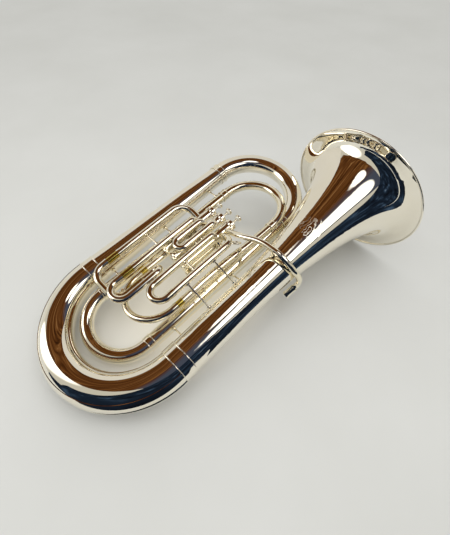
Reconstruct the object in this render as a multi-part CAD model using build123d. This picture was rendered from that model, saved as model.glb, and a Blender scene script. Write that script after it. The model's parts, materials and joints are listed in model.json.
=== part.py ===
from build123d import *
import os
from math import asin, atan2, cos, degrees, hypot, pi, radians, sin, tan

# Upright three-valve compensating tuba, lying on its back as it is put down.
# All lengths are in millimetres. The horn is drawn in its own frame, with X along
# the bell's axis toward the mouth, Y from the bell across to the outer branch and
# Z from the player's side toward the valve slides. stand() then lays it down.

# ---------------------------------------------------------------- bell and bottom bow
BRANCH_SPACING = 400.0      # bell axis to outer branch axis
RIM_X = 772.0               # bell rim, from the top of the bottom bow
RIM_R = 216.0               # outside of the rim bead
RIM_BEAD_R = 3.0
BELL_THROAT_R = 48.3        # outside radius where the bell leaves the bottom bow
BELL_WALL = 0.7
# Flare of the bell: share of the length from throat to rim, and outside radius.
BELL_FLARE = [(0.17, 49.2), (0.44, 53.0), (0.57, 63.0), (0.705, 80.0), (0.80, 96.0),
              (0.878, 114.5), (0.938, 136.0), (0.978, 165.0)]
BOW_MID_R = 48.8            # outside radius at the lowest point of the bottom bow
BRANCH_FOOT_R = 42.6        # outer branch, outside radius at the bottom bow
BOW_WALL = 0.8
RIM_WAY = (0.32, 1.0)       # direction of the bell's outline where it meets the rim bead
FERRULE_LENGTH = 39.0
FERRULE_WALL = 0.9
FERRULE_BEAD_R = 1.5
SOLDER_GAP = 0.3            # film between a sleeve or foot and the tube it sits on
FLARE_GAP = 0.6             # the same for a foot on the bell, whose outline is curved
CONE_GAP = 0.4              # the same for a foot on the outer branch
GUARD_WALL = 0.9
GUARD_HALF_HEIGHT = 33.0    # half width of the guard plate across the bow
GUARD_REACH = 24.0          # how far the guard starts outside the bow's centre line
GUARD_WIRE_R = 3.0

# ---------------------------------------------------------------- conical branches
TUBE_WALL = 0.7
OUTER_TOP_X = 558.0         # where the outer branch meets the outer top bow
BRANCH_TOP_R = 31.0
RISING_Y = 116.0            # rising branch, between the two right hand bow ends
RISING_Z = -42.0
OUTER_BOW_END_R = 28.5
INNER_FOOT_X = -12.0        # where the inner bottom bow starts
RISING_FOOT_R = 21.5
INNER_Y = 315.0             # inner branch
INNER_FOOT_R = 19.5
INNER_TOP_X = 500.0
INNER_TOP_R = 15.2
LEAD_Y = 108.0              # leg from the inner top bow to the tuning slide
LEAD_Z = 6.0
LEAD_TOP_R = 13.6
SMALL_FERRULE_LENGTH = 22.0

# ---------------------------------------------------------------- cylindrical tubing
SLIDE_LEG_R = 9.75          # outside of a drawn inner slide leg
SLIDE_LEG_WALL = 0.5
BORE_R = SLIDE_LEG_R - SLIDE_LEG_WALL
SLIDE_FIT = 0.05            # radial running clearance of a slide leg
SLIDE_TUBE_WALL = 0.7
OUTER_TUBE_R = SLIDE_LEG_R + SLIDE_FIT + SLIDE_TUBE_WALL
SLIDE_END_LENGTH = 8.0      # thickened end ring of a slide tube
SLIDE_END_RISE = 0.8
LEG_SOCKET = 15.0           # depth that a slide leg is soldered into its bow
LEG_INSIDE = 70.0           # length of slide leg inside the outer tube, pushed home

# ---------------------------------------------------------------- valves
VALVE_Y = {1: 192.0, 2: 233.0, 3: 274.0}
VALVE_Z = 30.0
CASING_FOOT_X = 205.0
CASING_TOP_X = 392.0
PISTON_R = 13.5
PISTON_FIT = 0.08
CASING_WALL = 2.22
CASING_R = PISTON_R + PISTON_FIT + CASING_WALL
PISTON_LENGTH = 146.0
PISTON_TOP_GAP = 14.0       # room for the cork washers between piston and cap
PISTON_WALL = 1.2
PISTON_HEAD = 3.0
PORT_R = 8.0
PORT_WALL = 0.8
TRAVEL = 20.0
STEM_R = 3.2
STEM_FIT = 0.1
CAP_WALL = 2.2
CAP_R = CASING_R + CAP_WALL
CAP_SKIRT = 8.0
CAP_RISE = 13.0
CAP_TOP_WALL = 2.5
CAP_FIT = 0.1
BOTTOM_CAP_LENGTH = 6.0
BUTTON_R = 11.0
BUTTON_THICKNESS = 6.0
FELT_R = 8.0
FELT_THICKNESS = 4.0
BUTTON_CLEARANCE = 2.0      # left between felt and cap with the valve down
SPRING_R = PISTON_R - 3.5
SPRING_WALL = 1.2
SPRING_SOLID = 20.0         # length with the coils closed
KNUCKLE_X = 308.0
RETURN_X = 286.0

# ---------------------------------------------------------------- valve slides
SLIDE_Z = 60.0              # plane of the legs that lie in front of the casings
FIRST_Y = (187.5, 130.0)
FIRST_PORT_X = (330.0, 349.0)
FIRST_END_X = 120.0
SECOND_Y = (252.0, 217.0)
SECOND_PORT_X = (341.0, 362.0)
SECOND_END_X = 260.0
THIRD_Y = (348.0, 275.0)
THIRD_PORT_X = (352.0, 332.0)
THIRD_END_X = 97.0
THIRD_DRAWN = 37.0
THIRD_RUN_X = 5.0           # cross run behind the third slide's short bow
THIRD_RUN_BEND = 38.0
FOLD_Y = 240.0              # hidden leg of the folded third slide
FOLD_Z = 32.0
SHORT_LEG_Y = 210.0
FOLD_TOP_X = 129.0
MAIN_RIGHT = (110.0, 28.0)
MAIN_LEFT = (282.0, 2.0)
MAIN_END_X = 132.0
MAIN_DRAWN = 20.0
MAIN_OUTER_LENGTH = 90.0
MAIN_PORT_X = 266.0
TIGHT_BEND = 16.0
FIRST_BENDS = (14.0, 30.0)
THIRD_BENDS = (45.0, 16.0)

# ---------------------------------------------------------------- compensating loops
LOOP_Z = -4.0
LOOP_Y = {1: 180.0, 2: 235.0}
LOOP_SPREAD = 13.0          # half the distance between the legs of one loop
LOOP_PORT_X = (332.0, 356.0)
LOOP_END_X = {1: 238.0, 2: 266.0}
LOOP_LEG_INSIDE = {1: 40.0, 2: 15.0}

# ---------------------------------------------------------------- mouthpipe
MOUTHPIPE_R = 8.5
MOUTHPIPE_WALL = 1.0
MOUTHPIPE_ROUTE = [(372.0, 118.0, 66.0), (388.0, 56.0, 82.0), (388.0, -14.0, 81.0),
                   (389.0, -55.0, 51.0), (401.0, -73.0, 8.0), (401.0, -71.0, -24.0)]
MOUTHPIPE_PORT_X = 372.0
RECEIVER_END = (362.0, -59.0, -52.0)
RECEIVER_R = 10.0
RECEIVER_LENGTH = 34.0
SHANK_R = 6.6               # bore for the mouthpiece shank
THUMB_RING_R = 13.0
THUMB_RING_WIRE_R = 2.4
THUMB_RING_CENTRE = (338.0, 104.0, 82.0)
THUMB_RING_FACING = (0.55, 0.4, 0.73)

# ---------------------------------------------------------------- braces and water key
ROD_R = 2.6
FOOT_R = 7.0
FOOT_THICKNESS = 2.2
BRANCH_BRACE_X = (62.0, 270.0, 470.0)       # outer branch to inner branch
BELL_BRACE_X = (70.0, 300.0)                # bell to rising branch
FIRST_BRACE_X = (168.0, 266.0)              # first slide tube to bell
THIRD_PAIR_BRACE_X = 196.0                  # between the third slide's two tubes
FIRST_PAIR_BRACE_X = 210.0                  # between the first slide's two tubes
THIRD_BRACE_X = 240.0                       # third slide tube to outer branch
MAIN_LEFT_BRACE_X = 160.0                   # left tuning slide tube to inner branch
MAIN_RIGHT_BRACE_X = 205.0                  # right tuning slide tube to rising branch
FOLD_BRACE_X = 95.0                         # in the third slide's fold
MOUTHPIPE_BRACE_X = 388.0
MOUTHPIPE_BRACE_WAY = (20.0, 81.5)          # from the bell's axis to the mouthpipe
KEY_ANGLE = 34.0            # place of the water key round the tuning slide bow
KEY_PIN_R = 1.05
KEY_PIN_FIT = 0.08
KEY_LENGTH = 34.0
KEY_PIN_AT = (11.0, 6.6)    # hinge pin, in the water key's frame
NIPPLE_R = 3.8
NIPPLE_BORE_R = 1.6
KEY_CORK_R = 3.6
KEY_CUP_R = 4.4
KEY_THUMB_R = 5.2
KEY_BARREL_R = 2.7


# ================================================================ shapes
def rod(start, end, r0, r1=None):
    """Solid round bar from start to end, tapering from r0 to r1."""
    start, end = Vector(start), Vector(end)
    plane = Plane(origin=start, z_dir=end - start)
    length = (end - start).length
    if r1 is None or abs(r1 - r0) < 1e-6:
        return Solid.make_cylinder(r0, length, plane)
    return Solid.make_cone(r0, r1, length, plane)


def tube(start, end, r0, r1, wall):
    """Hollow straight tube, outside radius r0 at start and r1 at end."""
    return rod(start, end, r0, r1) - rod(start, end, r0 - wall, r1 - wall)


def along_x(x0, x1, y, z, r0, r1=None, wall=None):
    """Bar or tube parallel to X at (y, z)."""
    if wall is None:
        return rod((x0, y, z), (x1, y, z), r0, r1)
    return tube((x0, y, z), (x1, y, z), r0, r0 if r1 is None else r1, wall)


def lofted(stations):
    """Solid through circles given as (centre, direction, radius)."""
    rings = [Wire.make_circle(r, Plane(origin=c, z_dir=d)) for c, d, r in stations]
    return Solid.make_loft(rings)


def lofted_tube(stations, wall):
    inner = [(c, d, r - wall) for c, d, r in stations]
    return lofted(stations) - lofted(inner)


def bow_stations(x, start, end, side, radii, count=10):
    """Circles round a half turn between legs at start and end, both (y, z)."""
    centre = Vector(x, (start[0] + end[0]) / 2, (start[1] + end[1]) / 2)
    arm = Vector(x, *start) - centre
    out = Vector(side * arm.length, 0, 0)
    stations = []
    for k in range(count + 1):
        share = k / count
        turn = pi * share
        first, middle, last = radii
        if share < 0.5:
            r = first + (middle - first) * share * 2
        else:
            r = middle + (last - middle) * (share * 2 - 1)
        place = centre + arm * cos(turn) + out * sin(turn)
        stations.append((place, out * cos(turn) - arm * sin(turn), r))
    return stations


def pipe(points, bends, radius, wall):
    """Hollow tube along straight runs joined by round bends."""
    path = FilletPolyline(*points, radius=bends)
    plane = Plane(origin=path @ 0, z_dir=path % 0)
    return sweep(plane * (Circle(radius) - Circle(radius - wall)), path=path)


def half_bar(x, start, end, side, radius):
    """Solid half turn of even size between legs at start and end, both (y, z)."""
    centre = Vector(x, (start[0] + end[0]) / 2, (start[1] + end[1]) / 2)
    arm = Vector(x, *start) - centre
    ahead = Vector(side, 0, 0)
    disc = Plane(origin=centre + arm, z_dir=ahead) * Circle(radius)
    return revolve(disc, Axis(centre, arm.cross(ahead)), 180)


def ferrule(x0, x1, y, z, r0, r1=None):
    """Sleeve over a joint, with a bead round each end."""
    r1 = r0 if r1 is None else r1
    inner = SOLDER_GAP
    outer = SOLDER_GAP + FERRULE_WALL
    body = along_x(x0, x1, y, z, r0 + outer, r1 + outer)
    for x, r in ((x0 + FERRULE_BEAD_R, r0), (x1 - FERRULE_BEAD_R, r1)):
        body += Solid.make_torus(r + outer, FERRULE_BEAD_R, Plane((x, y, z), z_dir=(1, 0, 0)))
    return body - along_x(x0 - 1, x1 + 1, y, z, r0 + inner, r1 + inner)


def brace(start, end, r_start, r_end, dir_start=(1, 0, 0), dir_end=(1, 0, 0)):
    """Rod with a round foot on each of two tubes, given points on their axes."""
    start, end = Vector(start), Vector(end)
    way = (end - start).normalized()
    body = rod(start, end, ROD_R)
    for point, toward, r in ((start, way, r_start), (end, way * -1, r_end)):
        body += rod(point, point + toward * (r + FOOT_THICKNESS + SOLDER_GAP), FOOT_R)
    for point, axis, r in ((start, dir_start, r_start), (end, dir_end, r_end)):
        axis = Vector(axis).normalized() * (r * 2 + 40)
        body -= rod(point - axis, point + axis, r + SOLDER_GAP)
    return body


# ================================================================ bell and bows
def bell_radius(x):
    """Outside radius of the bell near x, by straight lines between its stations."""
    start = FERRULE_LENGTH / 2
    stations = [(start, BELL_THROAT_R)]
    stations += [(start + s * (RIM_X - start), r) for s, r in BELL_FLARE]
    stations.append((RIM_X, RIM_R - RIM_BEAD_R * 2))
    for (xa, ra), (xb, rb) in zip(stations, stations[1:]):
        if x <= xb:
            return ra + (rb - ra) * (x - xa) / (xb - xa)
    return stations[-1][1]


def bell():
    start = FERRULE_LENGTH / 2
    end = RIM_X - RIM_BEAD_R
    points = [(start, BELL_THROAT_R)]
    points += [(start + s * (RIM_X - start), r) for s, r in BELL_FLARE]
    points.append((end, RIM_R - RIM_BEAD_R * 2 - SOLDER_GAP))
    outer = Spline(*points, tangents=[(1, 0), RIM_WAY])
    inner = Spline(*[(x, r - BELL_WALL) for x, r in points], tangents=[(1, 0), RIM_WAY])
    section = make_face(Wire([outer.edge(), Line(outer @ 1, inner @ 1).edge(), inner.edge(),
                              Line(inner @ 0, outer @ 0).edge()]))
    return revolve(section, Axis.X)


def bell_rim_bead():
    plane = Plane((RIM_X - RIM_BEAD_R, 0, 0), z_dir=(1, 0, 0))
    return Solid.make_torus(RIM_R - RIM_BEAD_R, RIM_BEAD_R, plane)


def bottom_bow_stations(extra):
    radii = [r + extra for r in (BELL_THROAT_R, BOW_MID_R, BRANCH_FOOT_R)]
    return bow_stations(0, (0, 0), (BRANCH_SPACING, 0), -1, radii, 14)


def bottom_bow():
    middle = FERRULE_LENGTH / 2 - SOLDER_GAP
    body = lofted_tube(bottom_bow_stations(0), BOW_WALL)
    body += along_x(0, middle, 0, 0, BELL_THROAT_R, wall=BOW_WALL)
    return body + along_x(0, middle, BRANCH_SPACING, 0, BRANCH_FOOT_R, wall=BOW_WALL)


def bottom_bow_guard():
    """Plate round the outside of the bottom bow, with a wire along its middle."""
    gap, thick = SOLDER_GAP, GUARD_WALL
    shell = lofted(bottom_bow_stations(gap + thick)) - lofted(bottom_bow_stations(gap))
    centre = (0, BRANCH_SPACING / 2, -GUARD_HALF_HEIGHT)
    top = (0, BRANCH_SPACING / 2, GUARD_HALF_HEIGHT)
    zone = rod(centre, top, BRANCH_SPACING) - rod(centre, top, BRANCH_SPACING / 2 + GUARD_REACH)
    shell = shell & (zone - Pos(BRANCH_SPACING, BRANCH_SPACING / 2, 0) * Box(
        BRANCH_SPACING * 2, BRANCH_SPACING * 3, BRANCH_SPACING))
    sizes = (BELL_THROAT_R, BOW_MID_R, BRANCH_FOOT_R)
    offset = gap + thick / 2
    ends = (-sizes[0] - offset, BRANCH_SPACING + sizes[2] + offset)
    wire = lofted(bow_stations(0, (ends[0], 0), (ends[1], 0), -1, [GUARD_WIRE_R] * 3, 14))
    wire -= lofted(bottom_bow_stations(gap + thick / 2))
    return (shell + wire).solids().sort_by(SortBy.VOLUME)[-1:]


def outer_branch():
    return along_x(FERRULE_LENGTH / 2, OUTER_TOP_X - SOLDER_GAP, BRANCH_SPACING, 0,
                   BRANCH_FOOT_R, BRANCH_TOP_R, TUBE_WALL)


def outer_top_bow():
    middle = (BRANCH_TOP_R + OUTER_BOW_END_R) / 2
    return lofted_tube(bow_stations(OUTER_TOP_X, (BRANCH_SPACING, 0), (RISING_Y, RISING_Z), 1,
                                    (BRANCH_TOP_R, middle, OUTER_BOW_END_R)), TUBE_WALL)


def rising_branch():
    return along_x(INNER_FOOT_X + SOLDER_GAP, OUTER_TOP_X - SOLDER_GAP, RISING_Y, RISING_Z,
                   RISING_FOOT_R, OUTER_BOW_END_R, TUBE_WALL)


def inner_bottom_bow():
    middle = (RISING_FOOT_R + INNER_FOOT_R) / 2
    return lofted_tube(bow_stations(INNER_FOOT_X, (RISING_Y, RISING_Z), (INNER_Y, 0), -1,
                                    (RISING_FOOT_R, middle, INNER_FOOT_R)), TUBE_WALL)


def inner_branch():
    return along_x(INNER_FOOT_X + SOLDER_GAP, INNER_TOP_X - SOLDER_GAP, INNER_Y, 0,
                   INNER_FOOT_R, INNER_TOP_R, TUBE_WALL)


def inner_top_bow():
    middle = (INNER_TOP_R + LEAD_TOP_R) / 2
    return lofted_tube(bow_stations(INNER_TOP_X, (INNER_Y, 0), (LEAD_Y, LEAD_Z), 1,
                                    (INNER_TOP_R, middle, LEAD_TOP_R)), TUBE_WALL)


def lead_branch():
    """Leg that drifts from the inner top bow to the right tuning slide tube."""
    x0, x1 = MAIN_END_X + MAIN_OUTER_LENGTH + SOLDER_GAP, INNER_TOP_X - SOLDER_GAP
    stations = []
    steps = 8
    for k in range(steps + 1):
        s = k / steps
        ease = s * s * (3 - 2 * s)
        slope = 6 * s * (1 - s) / (x1 - x0)
        y = MAIN_RIGHT[0] + (LEAD_Y - MAIN_RIGHT[0]) * ease
        z = MAIN_RIGHT[1] + (LEAD_Z - MAIN_RIGHT[1]) * ease
        way = (1, (LEAD_Y - MAIN_RIGHT[0]) * slope, (LEAD_Z - MAIN_RIGHT[1]) * slope)
        r = OUTER_TUBE_R + (LEAD_TOP_R - OUTER_TUBE_R) * s
        stations.append(((x0 + (x1 - x0) * s, y, z), way, r))
    return lofted_tube(stations, TUBE_WALL)


def branch_ferrules():
    places = [(OUTER_TOP_X, BRANCH_SPACING, 0, BRANCH_TOP_R),
              (OUTER_TOP_X, RISING_Y, RISING_Z, OUTER_BOW_END_R),
              (INNER_FOOT_X, RISING_Y, RISING_Z, RISING_FOOT_R),
              (INNER_FOOT_X, INNER_Y, 0, INNER_FOOT_R),
              (INNER_TOP_X, INNER_Y, 0, INNER_TOP_R),
              (INNER_TOP_X, LEAD_Y, LEAD_Z, LEAD_TOP_R)]
    rings = []
    for x, y, z, r in places:
        start = x - SMALL_FERRULE_LENGTH if x > INNER_FOOT_X else x
        rings.append(ferrule(start, start + SMALL_FERRULE_LENGTH, y, z, r + FERRULE_BEAD_R / 2))
    return rings


# ================================================================ tuning and valve slides
def slide_tube(x0, x1, y, z):
    """Outer slide tube with a thickened mouth at x0."""
    body = along_x(x0, x1, y, z, OUTER_TUBE_R)
    body += along_x(x0, x0 + SLIDE_END_LENGTH, y, z, OUTER_TUBE_R + SLIDE_END_RISE)
    return body - along_x(x0, x1, y, z, SLIDE_LEG_R + SLIDE_FIT)


def leg_sockets(bar, bore, mouth, legs):
    """Hollow slide bow from its bar and bore, with a socket for each leg at mouth."""
    x = mouth - LEG_SOCKET
    for y, z in legs:
        bar += along_x(x, mouth, y, z, OUTER_TUBE_R)
        bar += along_x(mouth - SLIDE_END_LENGTH, mouth, y, z, OUTER_TUBE_R + SLIDE_END_RISE)
        bore += along_x(x, mouth + 1, y, z, SLIDE_LEG_R + SLIDE_FIT)
    return bar - bore


def slide_leg(bow_end, reach, y, z):
    return along_x(bow_end - LEG_SOCKET + SLIDE_FIT, bow_end + reach, y, z, SLIDE_LEG_R,
                   wall=SLIDE_LEG_R - BORE_R)


def valve_axis(number):
    return VALVE_Y[number], VALVE_Z


def clear_of_casing(body, number):
    y, z = valve_axis(number)
    return body - along_x(CASING_FOOT_X - 20, CASING_TOP_X + 20, y, z, CASING_R + SOLDER_GAP)


def leg_to_valve(x_end, x_port, y, z, bend, number):
    """Outer slide tube that turns at x_port and runs to a valve casing."""
    joint = x_port - bend - SOLDER_GAP - 2
    outer = slide_tube(x_end, joint, y, z)
    turn = pipe([(joint, y, z), (x_port, y, z), (x_port, *valve_axis(number))], [bend],
                OUTER_TUBE_R, OUTER_TUBE_R - BORE_R)
    return clear_of_casing(outer + turn, number)


def first_valve_tubing():
    return [leg_to_valve(FIRST_END_X, FIRST_PORT_X[k], FIRST_Y[k], SLIDE_Z, FIRST_BENDS[k], 1)
            for k in range(2)]


def second_valve_tubing():
    return [leg_to_valve(SECOND_END_X, SECOND_PORT_X[k], SECOND_Y[k], SLIDE_Z, TIGHT_BEND, 2)
            for k in range(2)]


def third_valve_tubing():
    return [leg_to_valve(THIRD_END_X, THIRD_PORT_X[k], THIRD_Y[k], SLIDE_Z, THIRD_BENDS[k], 3)
            for k in range(2)]


def main_slide_tubes():
    right = slide_tube(MAIN_END_X, MAIN_END_X + MAIN_OUTER_LENGTH, *MAIN_RIGHT)
    return [right, leg_to_valve(MAIN_END_X, MAIN_PORT_X, *MAIN_LEFT, TIGHT_BEND, 3)]


def plain_slide(end_x, drawn, start, end, inside=LEG_INSIDE):
    """Half-round slide bow with two legs, drawn out from tubes that end at end_x."""
    mouth = end_x - drawn - SOLDER_GAP
    x = mouth - LEG_SOCKET
    body = leg_sockets(half_bar(x, start, end, -1, OUTER_TUBE_R),
                       half_bar(x, start, end, -1, BORE_R), mouth, (start, end))
    legs = [slide_leg(mouth, drawn + inside, y, z) for y, z in (start, end)]
    return body, legs


def first_slide():
    return plain_slide(FIRST_END_X, 0, (FIRST_Y[0], SLIDE_Z), (FIRST_Y[1], SLIDE_Z))


def second_slide():
    inside = SECOND_PORT_X[0] - TIGHT_BEND - SECOND_END_X - 6
    return plain_slide(SECOND_END_X, 0, (SECOND_Y[0], SLIDE_Z), (SECOND_Y[1], SLIDE_Z), inside)


def folded_bar(x, radius):
    """Third slide's folded route as a solid bar, with both legs starting at x."""
    outer_y, inner_y = THIRD_Y
    path = FilletPolyline((x, outer_y, SLIDE_Z), (THIRD_RUN_X, outer_y, SLIDE_Z),
                          (THIRD_RUN_X, FOLD_Y, FOLD_Z), (FOLD_TOP_X, FOLD_Y, FOLD_Z),
                          radius=[THIRD_RUN_BEND, THIRD_RUN_BEND])
    bar = sweep(Plane(origin=path @ 0, z_dir=path % 0) * Circle(radius), path=path)
    bar += half_bar(FOLD_TOP_X, (FOLD_Y, FOLD_Z), (SHORT_LEG_Y, SLIDE_Z), 1, radius)
    short_x = THIRD_RUN_X + (inner_y - SHORT_LEG_Y) / 2
    bar += along_x(short_x, FOLD_TOP_X, SHORT_LEG_Y, SLIDE_Z, radius)
    bar += half_bar(short_x, (SHORT_LEG_Y, SLIDE_Z), (inner_y, SLIDE_Z), -1, radius)
    return bar + along_x(short_x, x, inner_y, SLIDE_Z, radius)


def third_slide():
    """Folded slide: the outer leg's bow crosses behind the short bow and turns back."""
    mouth = THIRD_END_X - THIRD_DRAWN - SOLDER_GAP
    x = mouth - LEG_SOCKET
    legs = [(y, SLIDE_Z) for y in THIRD_Y]
    body = leg_sockets(folded_bar(x, OUTER_TUBE_R), folded_bar(x, BORE_R), mouth, legs)
    return body, [slide_leg(mouth, THIRD_DRAWN + LEG_INSIDE, y, z) for y, z in legs]


def third_slide_brace():
    """Small brace between the two legs that lie side by side in the fold."""
    x = FOLD_BRACE_X
    return brace((x, SHORT_LEG_Y, SLIDE_Z), (x, FOLD_Y, FOLD_Z), OUTER_TUBE_R, OUTER_TUBE_R)


def loop_legs(number):
    y = LOOP_Y[number]
    return (y - LOOP_SPREAD, LOOP_Z), (y + LOOP_SPREAD, LOOP_Z)


def compensating_tubing():
    tubes = []
    for number, end_x in LOOP_END_X.items():
        for (y, z), x_port in zip(loop_legs(number), LOOP_PORT_X):
            tubes.append(leg_to_valve(end_x, x_port, y, z, TIGHT_BEND, number))
    return tubes


def compensating_slide(number):
    start, end = loop_legs(number)
    return plain_slide(LOOP_END_X[number], 0, start, end, LOOP_LEG_INSIDE[number])


# ================================================================ valves
def ports(number):
    """Casing ports as (x, direction), then the slide ports that open when pressed."""
    own = {1: list(zip(FIRST_PORT_X, [(y, SLIDE_Z) for y in FIRST_Y])),
           2: list(zip(SECOND_PORT_X, [(y, SLIDE_Z) for y in SECOND_Y])),
           3: list(zip(THIRD_PORT_X, [(y, SLIDE_Z) for y in THIRD_Y]))}[number]
    if number in LOOP_END_X:
        own += list(zip(LOOP_PORT_X, loop_legs(number)))
    through = []
    if number == 1:
        through.append((MOUTHPIPE_PORT_X, MOUTHPIPE_ROUTE[0][1:]))
    if number == 3:
        through.append((MAIN_PORT_X, MAIN_LEFT))
    for neighbour in (number - 1, number + 1):
        if neighbour in VALVE_Y:
            through += [(x, valve_axis(neighbour)) for x in (KNUCKLE_X, RETURN_X)]
    return through, own


def port_bar(number, x, target, r, length):
    y, z = valve_axis(number)
    way = Vector(0, target[0] - y, target[1] - z).normalized()
    start = Vector(x, y, z)
    return rod(start, start + way * length, r)


def casing(number):
    y, z = valve_axis(number)
    body = along_x(CASING_FOOT_X, CASING_TOP_X, y, z, CASING_R,
                   wall=CASING_R - PISTON_R - PISTON_FIT)
    through, own = ports(number)
    for x, target in through + own:
        body -= port_bar(number, x, target, BORE_R, CASING_R + 2)
    return body


def piston_ends():
    top = CASING_TOP_X - PISTON_TOP_GAP
    return top - PISTON_LENGTH, top


def piston(number):
    """Hollow piston with a stub of windway at each port."""
    y, z = valve_axis(number)
    foot, top = piston_ends()
    recess = foot + SPRING_SOLID + 2
    body = along_x(foot, top, y, z, PISTON_R)
    hollow = along_x(recess + PISTON_HEAD, top - PISTON_HEAD, y, z, PISTON_R - PISTON_WALL)
    body -= hollow
    body -= along_x(foot - 1, recess, y, z, PISTON_R - PISTON_WALL)
    through, own = ports(number)
    places = through + [(x + TRAVEL, target) for x, target in own]
    places = [(x, t) for x, t in places if recess + PORT_R < x < top - PORT_R - PISTON_HEAD]
    inside = along_x(foot, top, y, z, PISTON_R - PISTON_WALL / 2)
    for x, target in places:
        body += port_bar(number, x, target, PORT_R + PORT_WALL, PISTON_R) & inside
    for x, target in places:
        body -= port_bar(number, x, target, PORT_R, PISTON_R + 2)
    return body


def valve_stem(number):
    y, z = valve_axis(number)
    return along_x(piston_ends()[1], button_foot(), y, z, STEM_R)


def cap_top():
    return CASING_TOP_X + CAP_RISE


def button_foot():
    return cap_top() + TRAVEL + BUTTON_CLEARANCE + FELT_THICKNESS


def finger_button(number):
    """Round button with a dished top and a rounded edge."""
    y, z = valve_axis(number)
    foot = button_foot()
    body = along_x(foot, foot + BUTTON_THICKNESS, y, z, BUTTON_R)
    edges = body.edges().filter_by(GeomType.CIRCLE)
    body = fillet(edges, BUTTON_THICKNESS * 0.3)
    dish = BUTTON_R * 3.0
    sink = BUTTON_THICKNESS * 0.18
    ball = Solid.make_sphere(dish, Plane((foot + BUTTON_THICKNESS - sink + dish, y, z)),
                             -90, 90, 360)
    return body - ball


def button_felt(number):
    y, z = valve_axis(number)
    foot = button_foot()
    return along_x(foot - FELT_THICKNESS, foot, y, z, FELT_R, wall=FELT_R - STEM_R - STEM_FIT)


def valve_spring(number):
    """Envelope of the coil spring with its coils closed, in the piston's foot."""
    y, z = valve_axis(number)
    foot = piston_ends()[0] + 1
    return along_x(foot, foot + SPRING_SOLID, y, z, SPRING_R, wall=SPRING_WALL)


def top_caps():
    caps = []
    for y in VALVE_Y.values():
        skirt = CASING_TOP_X - CAP_SKIRT
        body = along_x(skirt, cap_top(), y, VALVE_Z, CAP_R)
        body = chamfer(body.edges().filter_by(GeomType.CIRCLE).sort_by(Axis.X)[-1:], 2.0)
        body -= along_x(skirt - 1, CASING_TOP_X + CAP_FIT, y, VALVE_Z, CASING_R + CAP_FIT)
        body -= along_x(CASING_TOP_X - 1, cap_top() - CAP_TOP_WALL, y, VALVE_Z, PISTON_R - 1)
        caps.append(body - along_x(CASING_TOP_X, cap_top() + 1, y, VALVE_Z, STEM_R + STEM_FIT))
    return caps


def bottom_caps():
    caps = []
    for y in VALVE_Y.values():
        foot = CASING_FOOT_X - BOTTOM_CAP_LENGTH
        body = along_x(foot, CASING_FOOT_X + 4, y, VALVE_Z, CAP_R - 0.5)
        body -= along_x(foot + 3, CASING_FOOT_X + 5, y, VALVE_Z, CASING_R + CAP_FIT)
        caps.append(body - along_x(foot - 1, foot + 4, y, VALVE_Z, STEM_R))
    return caps


def knuckles():
    """Short tubes between neighbouring casings."""
    pieces = []
    for number in (1, 2):
        start, end = VALVE_Y[number], VALVE_Y[number + 1]
        for x in (KNUCKLE_X, RETURN_X):
            body = tube((x, start, VALVE_Z), (x, end, VALVE_Z), OUTER_TUBE_R, OUTER_TUBE_R,
                        OUTER_TUBE_R - BORE_R)
            pieces.append(clear_of_casing(clear_of_casing(body, number), number + 1))
    return pieces


# ================================================================ mouthpipe and fittings
def round_bends(points):
    """Radius for each corner: as large as its two runs allow."""
    radii = []
    for a, b, c in zip(points, points[1:], points[2:]):
        first, second = Vector(b) - Vector(a), Vector(c) - Vector(b)
        half = radians(first.get_angle(second)) / 2
        radii.append(0.45 * min(first.length, second.length) / tan(half))
    return radii


def mouthpipe_points():
    end, before = Vector(RECEIVER_END), Vector(MOUTHPIPE_ROUTE[-1])
    way = (end - before).normalized()
    last = end - way * (RECEIVER_LENGTH * 0.5)
    return [(MOUTHPIPE_PORT_X, *valve_axis(1))] + MOUTHPIPE_ROUTE + [tuple(last)]


def mouthpipe():
    points = mouthpipe_points()
    body = pipe(points, round_bends(points), MOUTHPIPE_R, MOUTHPIPE_WALL)
    return clear_of_casing(body, 1)


def receiver_axis():
    end, before = Vector(RECEIVER_END), Vector(MOUTHPIPE_ROUTE[-1])
    return end, (end - before).normalized()


def mouthpiece_receiver():
    """Sleeve over the mouthpipe's end, bored for the mouthpiece shank."""
    end, way = receiver_axis()
    start = end - way * RECEIVER_LENGTH
    middle = end - way * (RECEIVER_LENGTH * 0.5 - SOLDER_GAP)
    body = rod(start, end, RECEIVER_R)
    body += rod(end - way * 5, end, RECEIVER_R + 1.6)
    body += rod(start, start + way * 4, RECEIVER_R + 1.0)
    body -= rod(start - way, middle, MOUTHPIPE_R + SOLDER_GAP)
    return body - rod(start, end + way, SHANK_R)


def thumb_ring():
    ring = Solid.make_torus(THUMB_RING_R, THUMB_RING_WIRE_R,
                            Plane(THUMB_RING_CENTRE, z_dir=THUMB_RING_FACING))
    x, y, z = THUMB_RING_CENTRE
    axis = (x, FIRST_Y[1], SLIDE_Z)
    post = rod((x, y + 10, z - 6), axis, THUMB_RING_WIRE_R)
    return (ring + post) - along_x(x - 80, x + 80, FIRST_Y[1], SLIDE_Z, OUTER_TUBE_R + SOLDER_GAP)


def outer_branch_radius(x):
    share = (x - FERRULE_LENGTH / 2) / (OUTER_TOP_X - FERRULE_LENGTH / 2)
    return BRANCH_FOOT_R + (BRANCH_TOP_R - BRANCH_FOOT_R) * share


def inner_branch_radius(x):
    share = (x - INNER_FOOT_X) / (INNER_TOP_X - INNER_FOOT_X)
    return INNER_FOOT_R + (INNER_TOP_R - INNER_FOOT_R) * share


def rising_branch_radius(x):
    share = (x - INNER_FOOT_X) / (OUTER_TOP_X - INNER_FOOT_X)
    return RISING_FOOT_R + (OUTER_BOW_END_R - RISING_FOOT_R) * share


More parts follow.
